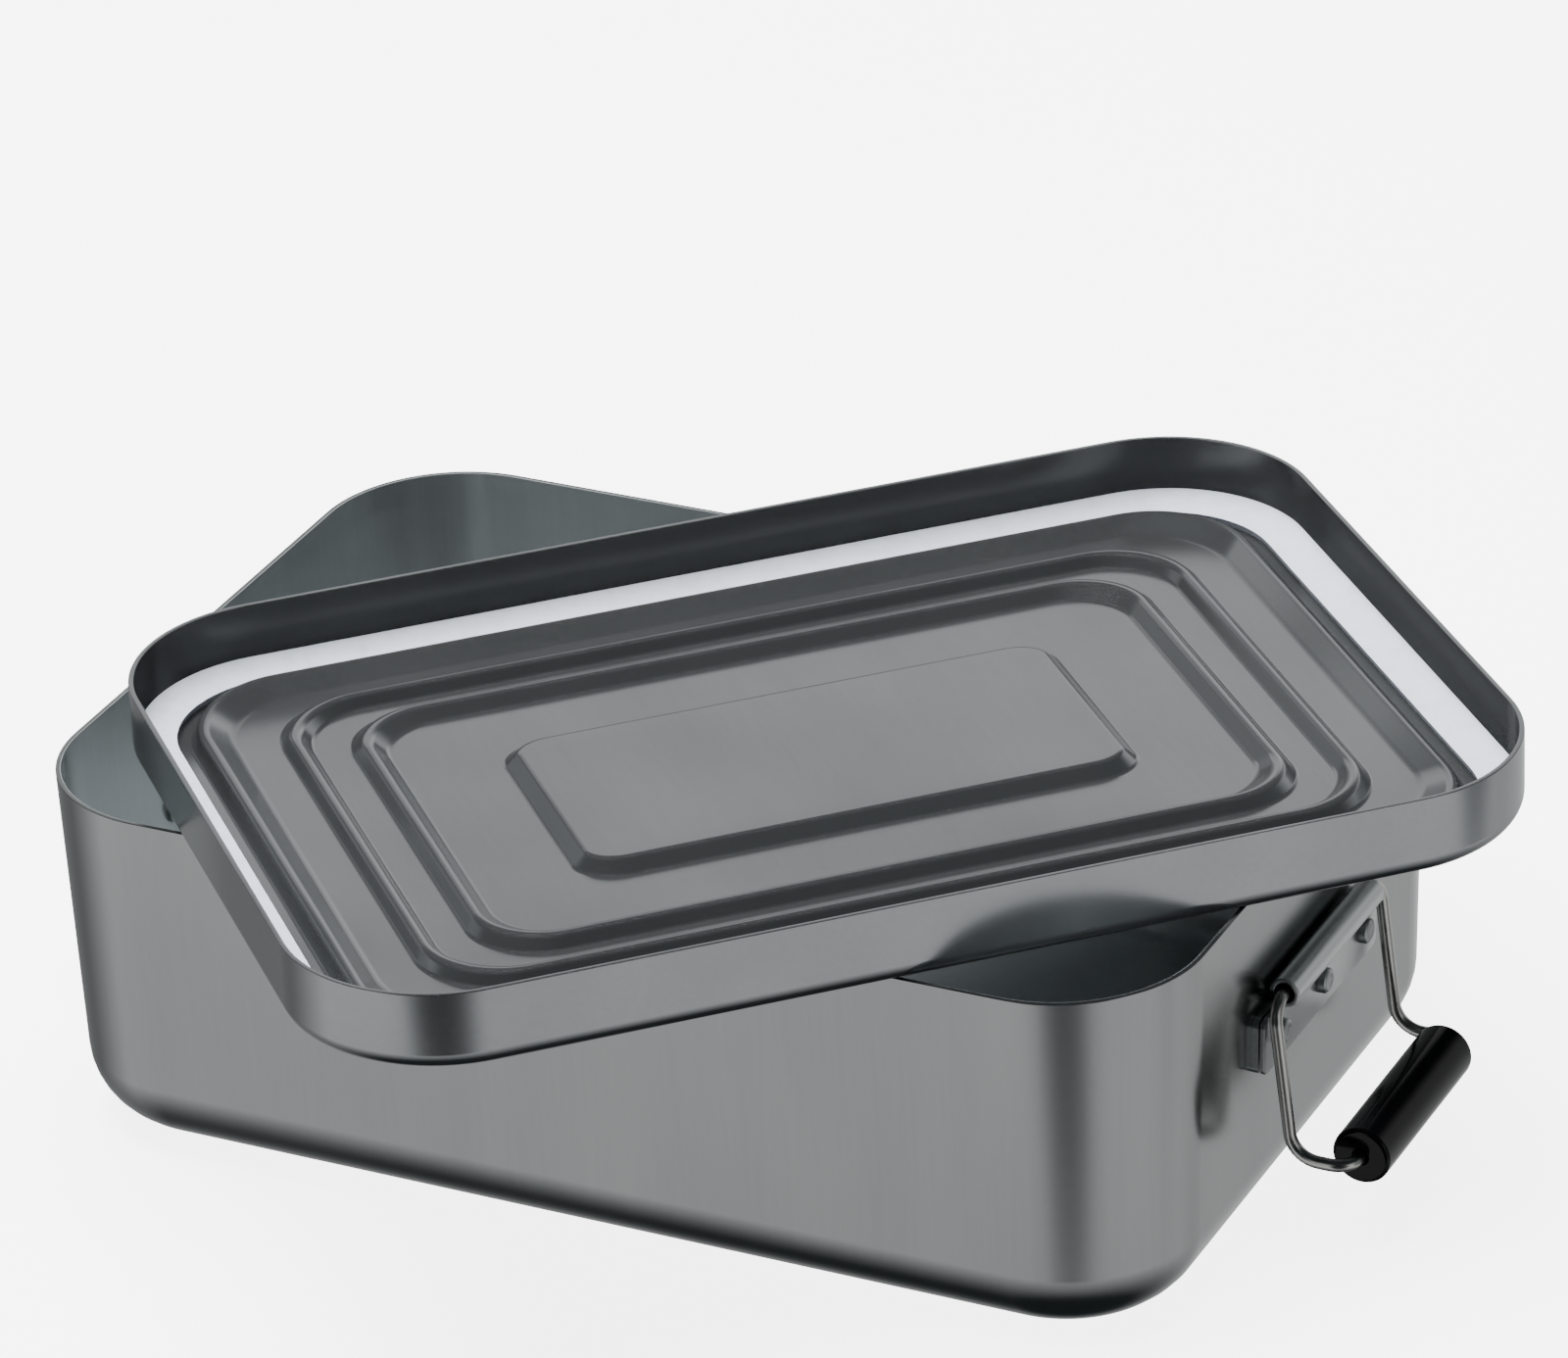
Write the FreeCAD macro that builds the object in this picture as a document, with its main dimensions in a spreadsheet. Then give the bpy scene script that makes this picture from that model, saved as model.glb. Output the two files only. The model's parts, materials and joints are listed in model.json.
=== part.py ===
import FreeCAD, Part
import os
from math import cos, pi, radians, tan
from Sketcher import Constraint

# Metal lunch box: a drawn aluminium tray with a slip-on lid and two swinging wire handles.
# The tray stands on the floor with its length along X. The lid lies upturned across the rim, and
# both handles hang with their feet turned out. Origin: the centre of the tray's flat underside.

V = FreeCAD.Vector
doc = FreeCAD.newDocument("lunch_box")

# ---------------------------------------------------------------- driving dimensions (mm, degrees)
DIMENSIONS = [
    ("tray_length", 226.5, "tray: outside length at the rim"),
    ("tray_width", 152.6, "tray: outside width at the rim"),
    ("tray_height", 71.4, "tray: overall height"),
    ("tray_corner", 27.4, "tray: corner radius in plan at the rim"),
    ("tray_bottom_bend", 14.8, "tray: outside radius between wall and bottom"),
    ("tray_draft", 2.13, "tray: how much each wall leans in from rim to bottom"),
    ("sheet", 1.0, "aluminium sheet thickness of tray and lid"),
    ("lid_play", 0.75, "gap between the tray's wall and the closed lid's skirt"),
    ("lid_height", 15.2, "lid: height of the skirt"),
    ("lid_bend", 3.4, "lid: outside radius between skirt and top"),
    ("lid_turn", 44.5, "lid: how far it is turned from the tray's length, as it lies"),
    ("lid_x", 22.3, "lid: place of its centre along the tray"),
    ("lid_y", -13.0, "lid: place of its centre across the tray"),
    ("lid_gap", 0.1, "gap left between the rim and the lid that lies on it"),
    ("panel_level", 2.4, "lid: height of the pressed rings and the panel"),
    ("crest_level", 4.8, "lid: height of the ridges and of the centre plaque"),
    ("groove_level", 3.1, "lid: depth of the grooves that back the two inner ridges"),
    ("seal_width", 7.5, "seal: width of the flat ring at the lid's ends"),
    ("seal_side_width", 6.5, "seal: width of the flat ring along the lid's sides"),
    ("seal_rim", 0.8, "seal: width of its level outer edge"),
    ("seal_inner_top", 2.7, "seal: height of its inner edge"),
    ("seal_outer_top", 4.6, "seal: height of its outer edge, where it climbs the bend"),
    ("seal_play", 0.06, "gap round the seal"),
    ("seal_ease", 0.1, "seal: extra roundness where it lies in the bend"),
    ("strip", 1.2, "hinge strips: sheet thickness"),
    ("strip_length", 53.0, "hinge strips: length along the wall"),
    ("strip_below", 6.2, "hinge strips: depth below the rivet line"),
    ("strip_above", 5.2, "hinge strips: height above the rivet line"),
    ("strip_corner", 1.6, "hinge strips: rounding of the corners"),
    ("tube_length", 40.0, "hinge tube: length"),
    ("tube_outer", 2.85, "hinge tube: outside radius"),
    ("tube_bore", 2.1, "hinge tube: bore radius"),
    ("tube_out", 3.4, "hinge tube: axis to the wall"),
    ("tube_up", 8.1, "hinge tube: axis above the rivet line"),
    ("neck_reach", 1.0, "hinge tube: how far the neck runs up into it from the leaf"),
    ("rivet_level", 41.0, "rivets: height above the floor"),
    ("rivet_pitch", 19.5, "rivets: spacing"),
    ("rivet_shank", 1.5, "rivets: shank radius"),
    ("rivet_play", 0.04, "rivets: gap round the shank"),
    ("rivet_head", 2.45, "rivets: head radius"),
    ("rivet_head_height", 1.7, "rivets: head height"),
    ("rivet_tail", 2.0, "rivets: radius of the set end inside the tray"),
    ("rivet_tail_height", 1.3, "rivets: height of the set end"),
    ("rivet_soft", 0.5, "rivets: rounding of head and set end"),
    ("rivet_taper", 0.3, "rivets: how much narrower head and set end are at one end"),
    ("washer_radius", 2.8, "washers: outside radius"),
    ("washer_height", 0.7, "washers: thickness"),
    ("wire", 1.2, "handle wire: radius"),
    ("leg_half", 24.9, "handle: half the distance between the legs"),
    ("leg_drop", 30.5, "handle: how far the feet hang below the tube's axis"),
    ("leg_lean", 6.0, "handle: lean of the legs away from the wall"),
    ("foot_reach", 14.4, "handle: how far the grip's axis stands out from the tube's axis"),
    ("end_bend", 4.0, "handle: bend radius at the tube and at the grip"),
    ("foot_bend", 5.5, "handle: bend radius between leg and foot"),
    ("wire_gap", 2.0, "handle: gap between the two wire ends inside the grip"),
    ("grip_length", 40.9, "grip: length"),
    ("grip_radius", 5.5, "grip: radius"),
    ("grip_play", 0.08, "grip: gap round the wire"),
    ("grip_soft", 0.9, "grip: rounding of its ends"),
]

sizes = doc.addObject("Spreadsheet::Sheet", "sizes")
for row, (alias, number, note) in enumerate(DIMENSIONS, 1):
    sizes.set("A%d" % row, alias)
    sizes.set("B%d" % row, str(number))
    sizes.set("C%d" % row, note)
    sizes.setAlias("B%d" % row, alias)
doc.recompute()


def size(alias):
    """The number in the sheet's cell with that alias."""
    return float(sizes.get(alias))


def bind(thing, **expressions):
    """Ties an object's properties to expressions on the sheet; a dot is written as two underscores."""
    for name, expression in expressions.items():
        thing.setExpression(name.replace("__", "."), expression)
    return thing


# ---------------------------------------------------------------- outlines and pressed forms
def origin_plane(body, role):
    return next(each for each in body.Origin.OriginFeatures if each.Role == role)


def outline(body, name, length, width, radius, level):
    """A fully constrained rounded rectangle round the body's Z axis, at a level above its XY plane."""
    sketch = body.newObject("Sketcher::SketchObject", name)
    sketch.AttachmentSupport = [(origin_plane(body, "XY_Plane"), "")]
    sketch.MapMode = "FlatFace"
    sketch.setExpression("AttachmentOffset.Base.z", level)
    x, y, r = (float(body.evalExpression(each)) for each in (length, width, radius))
    x, y = x / 2, y / 2
    up = V(0, 0, 1)
    runs = [(V(-x + r, -y), V(x - r, -y)), (V(x, -y + r), V(x, y - r)),
            (V(x - r, y), V(-x + r, y)), (V(-x, y - r), V(-x, -y + r))]
    centres = [V(x - r, -y + r), V(x - r, y - r), V(-x + r, y - r), V(-x + r, -y + r)]
    for start, end in runs:
        sketch.addGeometry(Part.LineSegment(start, end))
    for quarter, centre in enumerate(centres):
        start = radians(90 * (quarter - 1))
        sketch.addGeometry(Part.ArcOfCircle(Part.Circle(centre, up, r), start, start + radians(90)))
    for side in range(4):
        corner = 4 + side
        sketch.addConstraint(Constraint("Tangent", side, 2, corner, 1))
        sketch.addConstraint(Constraint("Tangent", corner, 2, (side + 1) % 4, 1))
        sketch.addConstraint(Constraint("Vertical" if side % 2 else "Horizontal", side))
        if side:
            sketch.addConstraint(Constraint("Equal", 4, corner))
    sketch.addConstraint(Constraint("Symmetric", 4, 3, 6, 3, -1, 1))
    for label, constraint in (("across", Constraint("DistanceX", 3, 1, 1, 1, 2 * x)),
                              ("along", Constraint("DistanceY", 0, 1, 2, 1, 2 * y)),
                              ("round", Constraint("Radius", 4, r))):
        sketch.renameConstraint(sketch.addConstraint(constraint), label)
    bind(sketch, Constraints__across=length, Constraints__along=width, Constraints__round=radius)
    return sketch


def raise_form(body, name, length, width, radius, level, height, lean="0"):
    """Adds a block that rises from an outline; a positive lean in degrees widens it upwards."""
    sketch = outline(body, name + "_outline", length, width, radius, level)
    pad = body.newObject("PartDesign::Pad", name)
    pad.Profile = sketch
    return bind(pad, Length=height, TaperAngle=lean)


def sink_form(body, name, length, width, radius, level, depth, lean="0"):
    """Takes away a block that sinks from an outline; a negative lean narrows it downwards."""
    sketch = outline(body, name + "_outline", length, width, radius, level)
    pocket = body.newObject("PartDesign::Pocket", name)
    pocket.Profile = sketch
    return bind(pocket, Length=depth, TaperAngle=lean)


def round_edges(body, name, base, radius, chosen):
    """Fillets the edges of the last feature that the function chosen picks."""
    doc.recompute()
    picked = ["Edge%d" % (i + 1) for i, edge in enumerate(base.Shape.Edges) if chosen(edge.BoundBox)]
    fillet = body.newObject("PartDesign::Fillet", name)
    fillet.Base = (base, picked)
    return bind(fillet, Radius=radius)


def new_body(name):
    body = doc.addObject("PartDesign::Body", name)
    body.Label = name
    return body


TOLERANCE = 1e-4


def flat_at(level):
    """Picks edges that lie flat at a level."""
    return lambda box: abs(box.ZMin - level) < TOLERANCE and abs(box.ZMax - level) < TOLERANCE


# ---------------------------------------------------------------- the tray
def tray_form(name, inset, floor):
    """The tray's outside, or with an inset and a floor the space inside it, as a solid block."""
    body = new_body(name)
    draft = "sizes.tray_draft * (1 - (%s) / sizes.tray_height)" % floor
    block = raise_form(
        body, name + "_block",
        "sizes.tray_length - 2 * (%s) - 2 * %s" % (draft, inset),
        "sizes.tray_width - 2 * (%s) - 2 * %s" % (draft, inset),
        "sizes.tray_corner - (%s) - %s" % (draft, inset),
        floor, "sizes.tray_height - (%s)" % floor, "atan(sizes.tray_draft / sizes.tray_height)")
    doc.recompute()
    level = float(body.evalExpression(floor))
    round_edges(body, name + "_bend", block, "sizes.tray_bottom_bend - %s" % inset, flat_at(level))
    return body


def cut(name, base, tool):
    result = doc.addObject("Part::Cut", name)
    result.Base, result.Tool = base, tool
    result.Label = name
    return result


def fuse(name, pieces):
    result = doc.addObject("Part::MultiFuse", name)
    result.Shapes = pieces
    result.Label = name
    return result


# The wall leans out by a small angle, so the hinge strips and the rivets lean with it. Their own
# frame has X out of the wall, Y along it and Z up it, from the middle rivet on the wall's outside.
draft_angle = float(sizes.evalExpression("atan(tray_draft / tray_height)"))
drawn_in = size("tray_draft") * (1 - size("rivet_level") / size("tray_height"))
ON_WALL = FreeCAD.Placement(V(size("tray_length") / 2 - drawn_in, 0, size("rivet_level")),
                            FreeCAD.Rotation(V(0, 1, 0), draft_angle))
SIDES = {"right": FreeCAD.Placement(),
         "left": FreeCAD.Placement(V(), FreeCAD.Rotation(V(0, 0, 1), 180))}
RIVET_ROW = {"1": -1, "2": 0, "3": 1}
OUT_OF_WALL = FreeCAD.Rotation(V(0, 1, 0), 90)
ALONG_WALL = FreeCAD.Rotation(V(1, 0, 0), -90)


def rivet_place(side, number, out=0.0):
    """The frame of one rivet, with its axis along the frame's Z, out of the wall."""
    shift = V(out, RIVET_ROW[number] * size("rivet_pitch"), 0)
    return SIDES[side] * ON_WALL * FreeCAD.Placement(shift, OUT_OF_WALL)


def rod(name, radius, length, start="0"):
    """A plain cylinder along Z, for a tool or as the start of a piece."""
    piece = doc.addObject("Part::Cylinder", name)
    bind(piece, Radius=radius, Height=length)
    piece.setExpression("Placement.Base.z", start)
    return piece


OVER = 1.0  # how far a cutting tool runs past the material
DRILL = "sizes.rivet_shank + sizes.rivet_play"


def rivet_drills():
    drills = []
    for side in SIDES:
        for number in RIVET_ROW:
            drill = rod("drill_%s_%s" % (side, number), DRILL, "4 * sizes.sheet")
            drill.setExpression("Placement.Base.z", None)
            drill.Placement = rivet_place(side, number, -3 * size("sheet"))
            drills.append(drill)
    return fuse("rivet_drills", drills)


tray_shell = cut("tray_shell", tray_form("tray_outside", "0", "0"),
                 tray_form("tray_inside", "sizes.sheet", "sizes.sheet"))
box_body = cut("box_body", tray_shell, rivet_drills())

# ---------------------------------------------------------------- the lid
# Each ring of the lid's pressing is an outline given by half its length, half its width and its
# corner radius. A ridge has two, where its walls start outside and where its crest ends inside.
OUTER_RIDGE = ((104.2, 70.2, 20.0), (102.3, 68.3, 18.1))
MIDDLE_RIDGE = ((88.7, 56.8, 18.5), (86.5, 54.6, 16.3))
INNER_RIDGE = ((77.4, 47.6, 17.0), (75.1, 45.3, 14.7))
PLAQUE = (53.3, 26.6, 8.8)
LID_LENGTH = "sizes.tray_length + 2 * sizes.lid_play + 2 * sizes.sheet"
LID_WIDTH = "sizes.tray_width + 2 * sizes.lid_play + 2 * sizes.sheet"
LID_CORNER = "sizes.tray_corner + sizes.lid_play + sizes.sheet"


def ring_sizes(half_length, half_width, corner):
    return str(2 * half_length), str(2 * half_width), str(corner)


def inset(ring, by):
    """The ring drawn in on every side, or let out if by is negative."""
    return tuple(round(each - by, 2) for each in ring)


def pressed_step(body, name, ring, run, low, high, sink=False):
    """One slanted wall of the pressing: a rise from its foot, or a sink from its crest.

    The wall leans by its run, which is the sideways distance that it covers.
    """
    height = "(%s) - (%s)" % (high, low)
    lean = "-atan(%s / (%s))" % (run, height)
    if sink:
        return sink_form(body, name, *ring_sizes(*ring), high, height, lean)
    return raise_form(body, name, *ring_sizes(*ring), low, height, lean)


def lid_top_side():
    """The lid as a solid pan, with the ridges and the plaque standing in it."""
    body = new_body("lid_top_side")
    block = raise_form(body, "lid_block", LID_LENGTH, LID_WIDTH, LID_CORNER, "0", "sizes.lid_height")
    round_edges(body, "lid_bend", block, "sizes.lid_bend", flat_at(0.0))
    pan = sink_form(
        body, "lid_pan", LID_LENGTH + " - 2 * sizes.sheet", LID_WIDTH + " - 2 * sizes.sheet",
        LID_CORNER + " - sizes.sheet", "sizes.lid_height", "sizes.lid_height - sizes.sheet")
    doc.recompute()
    round_edges(body, "lid_inner_bend", pan, "sizes.lid_bend - sizes.sheet", flat_at(size("sheet")))
    panel, crest = "sizes.panel_level", "sizes.crest_level"
    pressed_step(body, "outer_ridge_out", OUTER_RIDGE[0], 1.4, "sizes.sheet", crest)
    pressed_step(body, "outer_ridge_in", OUTER_RIDGE[1], 4.0, panel, crest, sink=True)
    pressed_step(body, "middle_ridge_out", MIDDLE_RIDGE[0], 1.3, panel, crest)
    pressed_step(body, "middle_ridge_in", MIDDLE_RIDGE[1], 1.4, panel, crest, sink=True)
    pressed_step(body, "inner_ridge_out", INNER_RIDGE[0], 1.5, panel, crest)
    pressed_step(body, "inner_ridge_in", INNER_RIDGE[1], 2.3, panel, crest, sink=True)
    pressed_step(body, "plaque_rise", PLAQUE, 2.0, panel, crest)
    return body


def lid_under_side():
    """What the lid's pressing leaves free under it, one sheet thickness below."""
    body = new_body("lid_under_side")
    panel, crest = "sizes.panel_level - sizes.sheet", "sizes.crest_level - sizes.sheet"
    groove = "sizes.groove_level"
    pressed_step(body, "outer_groove_out", inset(OUTER_RIDGE[0], 0.8), 1.4, "0", crest)
    pressed_step(body, "outer_groove_in", inset(OUTER_RIDGE[1], 0.9), 3.0, panel, crest, sink=True)
    pressed_step(body, "middle_groove_out", inset(MIDDLE_RIDGE[0], 0.6), 0.9, panel, groove)
    pressed_step(body, "middle_groove_in", inset(MIDDLE_RIDGE[1], -0.3), 1.0, panel, groove, sink=True)
    pressed_step(body, "inner_groove_out", inset(INNER_RIDGE[0], 0.6), 1.0, panel, groove)
    pressed_step(body, "inner_groove_in", inset(INNER_RIDGE[1], -0.2), 1.6, panel, groove, sink=True)
    pressed_step(body, "plaque_hollow", inset(PLAQUE, 0.6), 2.0, panel, crest)
    return body


def lid_place():
    """The lid upturned on the rim: it lies flat, off centre and turned from the tray's length."""
    return FreeCAD.Placement(V(size("lid_x"), size("lid_y"), size("tray_height") + size("lid_gap")),
                             FreeCAD.Rotation(V(0, 0, 1), size("lid_turn")))


# The lid is one sheet. It is kept as two pieces, the panel and the skirt round it, so that the
# space between them stays open when each is approximated by simple blocks.
lid_pressing = cut("lid_pressing", lid_top_side(), lid_under_side())
panel_block = new_body("panel_block")
raise_form(panel_block, "panel_block_form", LID_LENGTH + " - 2 * sizes.lid_bend",
           LID_WIDTH + " - 2 * sizes.lid_bend", LID_CORNER + " - sizes.lid_bend",
           "-%s" % OVER, "sizes.crest_level + 2 * %s" % OVER)
lid_skirt = cut("lid_skirt", lid_pressing, panel_block)
lid_panel = doc.addObject("Part::Common", "lid_panel")
lid_panel.Base, lid_panel.Tool = lid_pressing, panel_block
for piece in (lid_skirt, lid_panel):
    piece.Placement = lid_place()


def seal():
    """The flat silicone ring: its outer edge climbs the bend and leans on the skirt."""
    body = new_body("lid_seal")
    foot = "sizes.sheet + sizes.seal_play"
    length = "%s - 2 * (%s)" % (LID_LENGTH, foot)
    width = "%s - 2 * (%s)" % (LID_WIDTH, foot)
    corner = "%s - (%s)" % (LID_CORNER, foot)
    block = raise_form(body, "seal_block", length, width, corner, foot,
                       "sizes.seal_outer_top - (%s)" % foot)
    doc.recompute()
    round_edges(body, "seal_bend", block, "sizes.lid_bend - sizes.sheet + sizes.seal_ease",
                flat_at(size("sheet") + size("seal_play")))
    slope = "sizes.seal_outer_top - sizes.seal_inner_top"
    sink_form(body, "seal_slope", length + " - 2 * sizes.seal_rim", width + " - 2 * sizes.seal_rim",
              corner + " - sizes.seal_rim", "sizes.seal_outer_top", slope,
              "-atan((sizes.seal_width - sizes.seal_rim) / (%s))" % slope)
    sink_form(body, "seal_hole", length + " - 2 * sizes.seal_width",
              width + " - 2 * sizes.seal_side_width", corner + " - sizes.seal_width",
              "sizes.seal_outer_top", "sizes.seal_outer_top")
    body.Placement = lid_place()
    return body


lid_seal = seal()


# ---------------------------------------------------------------- hinge strips, rivets, washers
def plate(name, out, below, above, length, corner=None):
    """A flat strip that starts out from the wall, with its corners rounded if corner is given."""
    piece = doc.addObject("Part::Box", name)
    bind(piece, Length="sizes.strip", Width=length, Height="(%s) + (%s)" % (below, above))
    bind(piece, Placement__Base__x=out, Placement__Base__y="-(%s) / 2" % length,
         Placement__Base__z="-(%s)" % below)
    if corner is None:
        return piece
    doc.recompute()
    rounded = doc.addObject("Part::Fillet", name + "_rounded")
    rounded.Base = piece
    rounded.Edges = [(i + 1, corner, corner) for i, edge in enumerate(piece.Shape.Edges)
                     if edge.BoundBox.XLength > size("strip") / 2]
    return rounded


def strip_drills(name):
    drills = []
    for number, place in RIVET_ROW.items():
        drill = rod("%s_drill_%s" % (name, number), DRILL, "4 * sizes.strip")
        drill.setExpression("Placement.Base.z", None)
        start = V(-size("strip"), place * size("rivet_pitch"), 0)
        drill.Placement = FreeCAD.Placement(start, OUT_OF_WALL)
        drills.append(drill)
    return drills


def hinge_strip(side):
    """A strip whose middle is curled into a tube for the handle's wire."""
    name = side + "_hinge_strip"
    leaf = plate(name + "_leaf", "sizes.strip", "sizes.strip_below", "sizes.strip_above",
                 "sizes.strip_length", size("strip_corner"))
    neck = plate(name + "_neck", "sizes.strip", "0", "sizes.strip_above + sizes.neck_reach",
                 "sizes.tube_length")
    tube = rod(name + "_tube", "sizes.tube_outer", "sizes.tube_length")
    bore = rod(name + "_bore", "sizes.tube_bore", "sizes.tube_length + 2 * %s" % OVER)
    half = size("tube_length") / 2
    for piece, reach in ((tube, half), (bore, half + OVER)):
        piece.setExpression("Placement.Base.z", None)
        piece.Placement = FreeCAD.Placement(V(size("tube_out"), -reach, size("tube_up")), ALONG_WALL)
    solid = fuse(name + "_solid", [leaf, neck, tube])
    tools = fuse(name + "_tools", [bore] + strip_drills(name))
    strip = cut(name, solid, tools)
    strip.Placement = SIDES[side] * ON_WALL
    return strip


def backing_strip(side):
    """The flat strip that spaces the hinge strip from the wall."""
    name = side + "_backing_strip"
    leaf = plate(name + "_leaf", "0", "sizes.strip_below", "sizes.strip_above",
                 "sizes.strip_length", size("strip_corner"))
    strip = cut(name, leaf, fuse(name + "_tools", strip_drills(name)))
    strip.Placement = SIDES[side] * ON_WALL
    return strip


def rivet(side, number):
    """A rivet through both strips, the wall and the washer: a pan head outside, a set end inside."""
    name = "%s_rivet_%s" % (side, number)
    inner = "sizes.sheet + sizes.washer_height"
    shank = rod(name + "_shank", "sizes.rivet_shank", "%s + 2 * sizes.strip" % inner, "-(%s)" % inner)
    head = doc.addObject("Part::Cone", name + "_head")
    bind(head, Radius1="sizes.rivet_head", Radius2="sizes.rivet_head - sizes.rivet_taper",
         Height="sizes.rivet_head_height", Placement__Base__z="2 * sizes.strip")
    tail = doc.addObject("Part::Cone", name + "_tail")
    bind(tail, Radius1="sizes.rivet_tail - sizes.rivet_taper", Radius2="sizes.rivet_tail",
         Height="sizes.rivet_tail_height", Placement__Base__z="-(%s) - sizes.rivet_tail_height" % inner)
    solid = fuse(name + "_solid", [shank, head, tail])
    doc.recompute()
    box = solid.Shape.BoundBox
    soft = size("rivet_soft")
    piece = doc.addObject("Part::Fillet", name)
    piece.Label = name
    piece.Base = solid
    piece.Edges = [(i + 1, soft, soft) for i, edge in enumerate(solid.Shape.Edges)
                   if flat_at(box.ZMax)(edge.BoundBox) or flat_at(box.ZMin)(edge.BoundBox)]
    piece.Placement = rivet_place(side, number)
    return piece


def washer(side, number):
    name = "%s_washer_%s" % (side, number)
    start = "-sizes.sheet - sizes.washer_height"
    disc = rod(name + "_disc", "sizes.washer_radius", "sizes.washer_height", start)
    hole = rod(name + "_hole", DRILL, "3 * sizes.washer_height",
               "-sizes.sheet - 2 * sizes.washer_height")
    piece = cut(name, disc, hole)
    piece.Placement = rivet_place(side, number)
    return piece


# ---------------------------------------------------------------- handles
def rounded_path(corners, bends):
    """A wire through the corners, each inner corner turned by an arc of its own bend radius."""
    edges = []
    last = corners[0]
    for before, corner, after, bend in zip(corners, corners[1:], corners[2:], bends):
        back, ahead = (before - corner).normalize(), (after - corner).normalize()
        half = back.getAngle(ahead) / 2
        reach = bend / tan(half)
        middle = (back + ahead).normalize()
        centre = corner + middle * (reach / cos(half))
        start, end = corner + back * reach, corner + ahead * reach
        edges.append(Part.LineSegment(last, start).toShape())
        edges.append(Part.Arc(start, centre - middle * bend, end).toShape())
        last = end
    edges.append(Part.LineSegment(last, corners[-1]).toShape())
    return Part.Wire(edges)


PIVOT = ON_WALL.multVec(V(size("tube_out"), 0, size("tube_up")))


def handle_path(side):
    """The handle's centre line: grip end, foot, leg, tube, leg, foot, grip end."""
    half, down, reach = size("leg_half"), -size("leg_drop"), size("foot_reach")
    knee = size("leg_drop") * tan(radians(size("leg_lean")))
    start = size("wire_gap") / 2
    corners = [V(reach, -start, down), V(reach, -half, down), V(knee, -half, down), V(0, -half, 0),
               V(0, half, 0), V(knee, half, down), V(reach, half, down), V(reach, start, down)]
    end, foot = size("end_bend"), size("foot_bend")
    path = doc.addObject("Part::Feature", side + "_bail_path")
    path.Shape = rounded_path(corners, [end, foot, end, end, foot, end])
    return path


def bail(side):
    """The bent wire handle, swept along its centre line."""
    path = handle_path(side)
    ring = doc.addObject("Part::Circle", side + "_bail_section")
    bind(ring, Radius="sizes.wire")
    ring.Placement = FreeCAD.Placement(V(size("foot_reach"), -size("wire_gap") / 2, -size("leg_drop")),
                                       FreeCAD.Rotation(V(1, 0, 0), 90))
    wire = doc.addObject("Part::Sweep", side + "_bail")
    wire.Label = side + "_bail"
    wire.Sections = [ring]
    wire.Spine = (path, ["Edge%d" % (i + 1) for i in range(len(path.Shape.Edges))])
    wire.Solid = True
    wire.Placement = SIDES[side] * FreeCAD.Placement(PIVOT, FreeCAD.Rotation())
    return wire


def grip(side):
    """The moulded sleeve that turns on the handle's wire ends."""
    name = side + "_grip"
    sleeve = rod(name + "_sleeve", "sizes.grip_radius", "sizes.grip_length", "-sizes.grip_length / 2")
    bore = rod(name + "_bore", "sizes.wire + sizes.grip_play", "sizes.grip_length + 2 * %s" % OVER,
               "-sizes.grip_length / 2 - %s" % OVER)
    solid = cut(name + "_solid", sleeve, bore)
    doc.recompute()
    soft = size("grip_soft")
    piece = doc.addObject("Part::Fillet", name)
    piece.Label = name
    piece.Base = solid
    piece.Edges = [(i + 1, soft, soft) for i, edge in enumerate(solid.Shape.Edges)
                   if edge.BoundBox.XLength > size("grip_radius")
                   and edge.BoundBox.ZLength < TOLERANCE]
    centre = PIVOT + V(size("foot_reach"), 0, -size("leg_drop"))
    piece.Placement = SIDES[side] * FreeCAD.Placement(centre, ALONG_WALL)
    return piece


nodes = [box_body, lid_skirt, lid_panel, lid_seal]
for side in SIDES:
    nodes += [hinge_strip(side), backing_strip(side), bail(side), grip(side)]
    for number in RIVET_ROW:
        nodes += [rivet(side, number), washer(side, number)]
doc.recompute()

# ---------------------------------------------------------------- checks and export
for thing in doc.Objects:
    if "Invalid" in thing.State or "Error" in thing.State:
        raise RuntimeError("%s failed: %s" % (thing.Name, thing.State))
for node in nodes:
    if node.Shape.isNull() or not node.Shape.isValid() or len(node.Shape.Solids) != 1:
        raise RuntimeError("%s has no valid single solid" % node.Label)
for side in SIDES:
    wire = doc.getObject(side + "_bail")
    expected = pi * size("wire") ** 2 * doc.getObject(side + "_bail_path").Shape.Length
    if abs(wire.Shape.Volume / expected - 1) > 0.01:
        raise RuntimeError("%s has the wrong volume" % wire.Label)
os.makedirs("parts", exist_ok=True)
for node in nodes:
    node.Shape.exportStep("parts/%s.step" % node.Label)
    box = node.Shape.BoundBox
    print("%-22s %9.1f mm3  x %7.2f %7.2f  y %7.2f %7.2f  z %6.2f %6.2f" % (
        node.Label, node.Shape.Volume, box.XMin, box.XMax, box.YMin, box.YMax, box.ZMin, box.ZMax))
print("hinge axis", [round(each, 3) for each in PIVOT])
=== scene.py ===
# %% [markdown]
# # A metal lunch box
# The real one is a tray of dark anodised aluminium with a slip-on lid, a white seal ring and a
# wire handle at each end. The frame comes first: it is the measured model, and every piece made
# here takes its place from it.
# %% Open the frame
import json
from math import atan2, cos, degrees, pi, radians, sin, tan

import bmesh
import bpy
from mathutils import Matrix, Vector


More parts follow.
